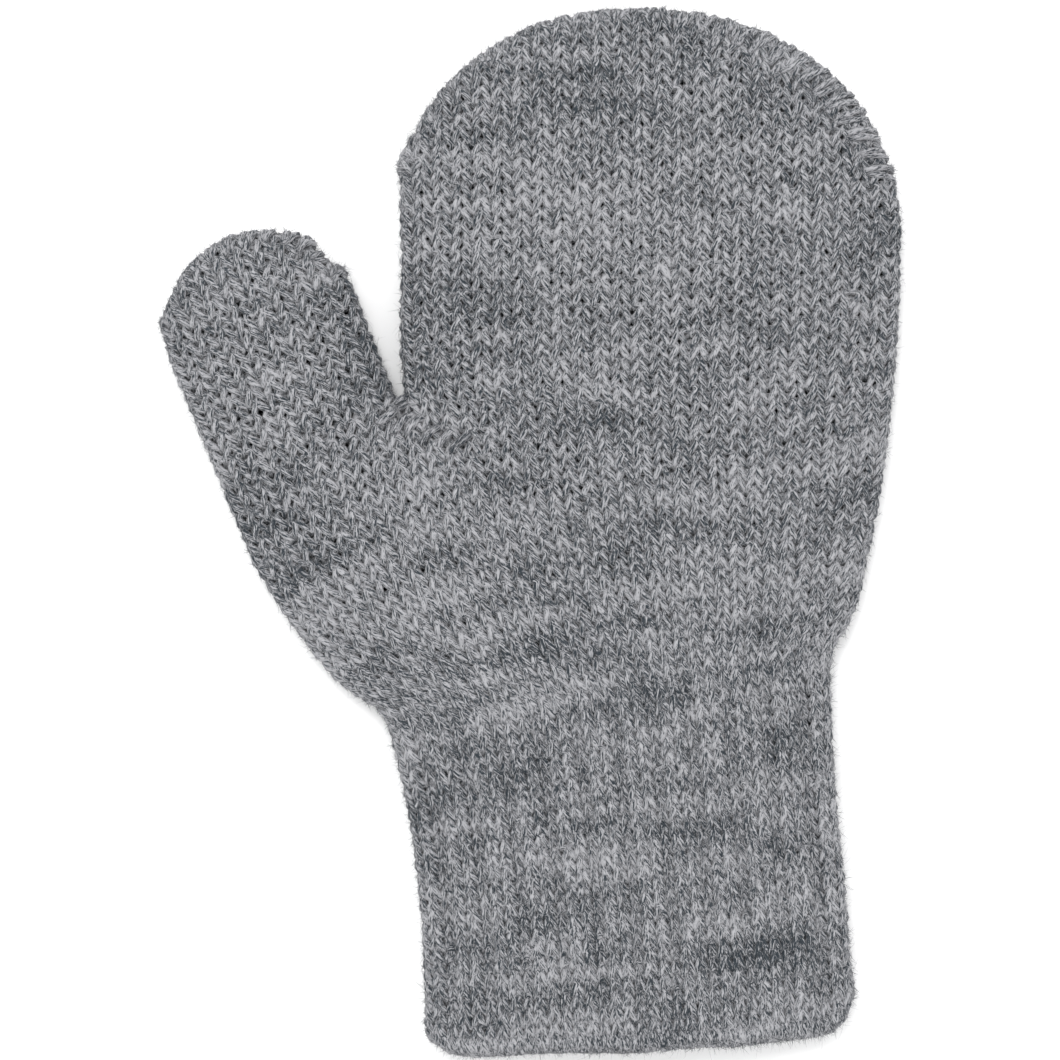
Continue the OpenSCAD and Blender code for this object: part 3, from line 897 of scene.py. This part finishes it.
hem_rows = [HEM_ROW + 0.8 + k for k in range(-FACING_ROWS - 2, 26)]
edge_rows = [HEM_ROW - 0.25, HEM_ROW + 0.25, HEM_ROW + 0.75]  # they fill the gaps at the turn
knit("cuff_knit", sorted(hem_rows + edge_rows), 0, WALES, knit_wool,
     ["cuff_tube", "cuff_hem_fold", "cuff_hem_facing", "wrist_fold_band"], upside_down=edge_rows)
knit("heel_knit", range(0, PALM_ROW), 0, WALES, knit_wool, [])
knit("palm_knit", range(PALM_ROW, FORK_ROW), 0, WALES, knit_wool, ["palm_tube"])
knit("pouch_knit", range(FORK_ROW, FINGER_ROW), THUMB_WALES, WALES, knit_wool,
     ["knuckle_fold_band", "finger_sleeve"])
finger_end_rows = range(FINGER_ROW, FORK_ROW + POUCH_COURSES)
knit("finger_end_knit", finger_end_rows, THUMB_WALES, WALES, knit_wool,
     ["finger_fold_band", "finger_cap"], clip_from=int(dome_row))
thumb_dome_row = FORK_ROW + thumb_dome_w / COURSE
knit("thumb_root_knit", range(FORK_ROW, THUMB_END_ROW), 0, THUMB_WALES, knit_wool,
     ["thumb_swing_band", "thumb_root_sleeve"])
thumb_end_rows = range(THUMB_END_ROW, FORK_ROW + THUMB_COURSES)
knit("thumb_end_knit", thumb_end_rows, 0, THUMB_WALES, knit_wool,
     ["thumb_fold_band", "thumb_cap"], clip_from=int(thumb_dome_row))

# ---------------------------------------------------------------- seams, knots and elastic


def random_tone(count, draw, middle=0.5):
    """Lightness that wanders along a yarn."""
    knots = np.linspace(0, 1, max(count // 14, 3))
    return np.interp(np.linspace(0, 1, count), knots, draw.normal(middle, 0.16, len(knots)))


def wobble_along(count, draw, every):
    """A wandering value of about 1 either way, with a new one every so many points."""
    knots = np.arange(0, count + every, every)
    return np.interp(np.arange(count), knots, draw.normal(0, 1, len(knots)))


def edge_of(line, at):
    """Points of an outline at distances along it, and the directions inwards."""
    run = np.concatenate([[0], np.cumsum(np.linalg.norm(np.diff(line, axis=0), axis=1))])
    slope = np.gradient(line, run, axis=0)
    point = np.stack([np.interp(at, run, line[:, k]) for k in (0, 1)], axis=1)
    into = np.stack([-np.interp(at, run, slope[:, 1]), np.interp(at, run, slope[:, 0])], axis=1)
    return point, into / np.linalg.norm(into, axis=1)[:, None]


def length_of(line):
    """Length of a line of points."""
    return np.linalg.norm(np.diff(line, axis=0), axis=1).sum()


SEAM_PITCH = 3.0
SEAM_STEPS = 30  # points in one turn of the closing
SEAM_SLANT = 0.42
SEAM_RISE = 0.75  # how far the closing's yarn stands on the fabric
UNDER_RISE = 0.38  # the same under the mitten, where it lies on the floor


def wind_edge(yarn, line, pitch, reach_right, reach_left, change_at, draw):
    """Winds the yarn round the fold along an end's arc, as its closing does. It reaches further from the
    edge on the right part of the arc than on the left."""
    length = length_of(line)
    turns = int(length / pitch)
    t = np.linspace(0, turns, turns * SEAM_STEPS + 1)
    share = t / turns
    swap = np.clip((share - change_at) / 0.08 + 0.5, 0, 1)
    reach = reach_right + (reach_left - reach_right) * swap
    reach = reach * (1 + 0.14 * wobble_along(len(t), draw, SEAM_STEPS // 2))
    over = reach * np.sin(TAU * t)
    at = share * length + SEAM_SLANT * np.abs(over) + 0.2 * wobble_along(len(t), draw, 7)
    edge, into = edge_of(line, np.clip(at, 0, length))
    inside = np.abs(over) - UNFOLDED
    out = (SEAM_RISE * (1 - 0.45 * swap) - 0.5 * (np.abs(over) / reach) ** 6
           + 0.12 * wobble_along(len(t), draw, 6))
    out = np.where(over < 0, np.minimum(out, UNDER_RISE), out)
    points, normals, _ = fold_over(edge + into * inside[:, None], inside, into, out, np.sign(over))
    girth = 0.95 + 0.1 * wobble_along(len(t), draw, 9)
    yarn.add(points, normals, random_tone(len(t), draw, 0.55), False, YARN_WIDE * girth, YARN_HIGH * girth)


def add_knot(yarn, centre, size, lean, draw):
    """A small overhand knot: a three-lobed knot of yarn pulled tight."""
    t = np.linspace(0, TAU, 60, endpoint=False)
    flat = np.stack([np.sin(t) + 2 * np.sin(2 * t), np.cos(t) - 2 * np.cos(2 * t),
                     -1.3 * np.sin(3 * t)], axis=1)
    c, s = math.cos(lean), math.sin(lean)
    turned = flat @ np.array([[1, 0, 0], [0, c, s], [0, -s, c]])
    points = np.array(centre) + turned * size / 3 * (1 + 0.1 * draw.normal(size=3))
    normals = turned + np.array([0, 0, 0.1])
    normals /= np.linalg.norm(normals, axis=1)[:, None]
    yarn.add(points, normals, random_tone(60, draw), True, 0.52, 0.52)


def finish_seam(name, yarn, material, node, fuzz=1.0):
    """Makes one piece of a seam's yarn, in place of its CAD node."""
    if fuzz:
        furry(yarn, sum(map(ord, name)), fuzz)
    piece = build_mesh(name, yarn, material)
    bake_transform(piece)
    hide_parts(node)


def end_seams(name, line, reach, change_at, knots, nodes):
    """The closing of the finger or thumb end, and the two knots at its corners."""
    draw = np.random.default_rng(len(line) + len(name))
    yarn = Yarn()
    wind_edge(yarn, line, SEAM_PITCH, *reach, change_at, draw)
    finish_seam(name, yarn, seam_wool, nodes[0], 1.3)
    yarn = Yarn()
    for at, size, outwards in knots:
        edge, into = edge_of(line, np.array([at * length_of(line)]))
        add_knot(yarn, [*(edge[0] - into[0] * outwards), SKIN + FOLD_R + 0.8], size, 0.6 + at, draw)
    finish_seam(name + "_knots", yarn, seam_wool, nodes[1], 3.0)


end_seams("tip_closing", dome_line[8:-8], (5.6, 2.6), 0.42,
          [(0.02, 1.1, -1.5), (0.925, 1.2, -1.6)], ["tip_seam", "tip_end_knots"])
end_seams("thumb_closing", thumb_dome[12:-12], (3.2, 2.7), 0.55,
          [(0.04, 1.0, -1.4), (0.9, 1.1, -1.6)], ["thumb_tip_seam", "thumb_end_knots"])


FACING_END = HEM_ROW + 7.6  # the course where the turned-in layer ends
ELASTICS = 7  # threads
ELASTIC_R = 0.25
ELASTIC_DEPTH = -1.3


def crotch_stitches():
    """Slanted stitches that join the thumb and the hand under the fork, on both faces."""
    draw = np.random.default_rng(31)
    yarn = Yarn()
    t = np.linspace(-1, 1, 17)
    for face in (1, -1):
        for number in range(6):
            angle = math.radians(42 + draw.normal(0, 7))
            middle = fork + np.array([-2.4 + 2.1 * number, -1.2 - 0.75 * number]) + draw.normal(0, 0.2, 2)
            half = 2.2 + draw.normal(0, 0.2)
            flat = middle + np.stack([t * math.cos(angle), t * math.sin(angle)], axis=1) * half
            inside, into = inward(flat, hand_edges)
            inside = np.maximum(inside, 0.5)
            out = (0.95 if face > 0 else UNDER_RISE) - 1.5 * np.abs(t) ** 3
            points, normals, _ = fold_over(flat, inside, into, out, face)
            tone = random_tone(len(t), draw, 0.55 + 0.1 * (-1) ** number)
            yarn.add(points, normals, tone, False, 0.62, YARN_HIGH)
        for up in (0.4, 1.25):
            middle = fork + np.array([-0.3 * up, up])
            flat = middle + np.stack([t, 0.45 * t], axis=1) * (1.3 + 0.3 * up)
            height = SKIN + FOLD_R + face * (1.9 - 1.5 * t**2)
            normals = np.tile([0.0, 0.0, float(face)], (len(t), 1))
            points = np.concatenate([flat, height[:, None]], axis=1)
            yarn.add(points, normals, random_tone(len(t), draw), False, 0.6, YARN_HIGH)
    finish_seam("crotch_stitches", yarn, seam_wool, "thumb_crotch_stitches", 1.3)


def ring_inside(yarn, row, out, draw, radius, waves=None):
    """A closed ring of thread round the inside of the cuff.

    waves are its swings in course, wale and depth.
    """
    t = np.linspace(0, TAU * WALES, WALES * 8 + 1)
    swing = waves or (0, 0, 0)
    at = row + swing[0] * np.cos(t)
    col = t / TAU + swing[1] * np.sin(2 * t) / TAU
    depth = out + swing[2] * np.cos(t)
    upper, up_normal, _ = on_fabric(at, col, depth, 1)
    lower, down_normal, _ = on_fabric(at, col, depth, -1)
    points = np.concatenate([upper, lower[-2:0:-1]])
    normals = np.concatenate([up_normal, down_normal[-2:0:-1]])
    yarn.add(points, normals, random_tone(len(points), draw), True, radius, radius)


def cuff_threads():
    """The stitches that catch the turned-in layer, and the elastic inside the cuff."""
    draw = np.random.default_rng(41)
    yarn = Yarn()
    ring_inside(yarn, FACING_END, -1.75, draw, 0.4, (0.75, 0.9, 0.85))
    finish_seam("hem_stitches", yarn, seam_wool, "cuff_hem_stitches", 0.5)
    yarn = Yarn()
    for row in np.linspace(FACING_END + 1.6, -1.2, ELASTICS):
        ring_inside(yarn, row, ELASTIC_DEPTH, draw, ELASTIC_R)
    finish_seam("elastic_threads", yarn, elastic_wound, "cuff_elastic_threads", 0)


crotch_stitches()
cuff_threads()

# ---------------------------------------------------------------- floor, light and camera


def area_light(name, size, power, place_at, aim=(0, 0, 0)):
    """A round soft light."""
    data = bpy.data.lights.new(name, "AREA")
    data.shape = "DISK"
    data.size = size
    data.energy = power
    lamp = bpy.data.objects.new(name, data)
    bpy.context.scene.collection.objects.link(lamp)
    lamp.location = place_at
    way = np.array(aim, float) - np.array(place_at, float)
    lamp.rotation_euler = Vector(way).to_track_quat("-Z", "Y").to_euler()


def make_floor():
    """The pale floor."""
    mesh = bpy.data.meshes.new("floor")
    half = 3.0
    corners = [(-half, -half, 0), (half, -half, 0), (half, half, 0), (-half, half, 0)]
    mesh.from_pydata(corners, [], [(0, 1, 2, 3)])
    floor = bpy.data.objects.new("floor", mesh)
    bpy.context.scene.collection.objects.link(floor)
    material = bpy.data.materials.new("paper_white")
    material.use_nodes = True
    material.node_tree.nodes["Principled BSDF"].inputs["Base Color"].default_value = (0.93, 0.93, 0.93, 1)
    material.node_tree.nodes["Principled BSDF"].inputs["Roughness"].default_value = 0.9
    mesh.materials.append(material)


make_floor()
world = bpy.data.worlds.new("studio")
world.use_nodes = True
world.node_tree.nodes["Background"].inputs["Color"].default_value = (1, 1, 1, 1)
world.node_tree.nodes["Background"].inputs["Strength"].default_value = 1.3
bpy.context.scene.world = world
area_light("key", 0.35, 3.9, (-0.12, 0.32, 0.9))
bpy.context.scene.view_settings.view_transform = "Standard"

FRAME_SIDE = 0.1507  # metres that the picture shows from side to side
camera_data = bpy.data.cameras.new("camera")
camera_data.lens = 135
camera_data.sensor_width = 36
camera = bpy.data.objects.new("camera", camera_data)
bpy.context.scene.collection.objects.link(camera)
aim_height = cad_high[2] / 2
camera.location = (0, 0, aim_height + FRAME_SIDE * camera_data.lens / camera_data.sensor_width)
bpy.context.scene.camera = camera
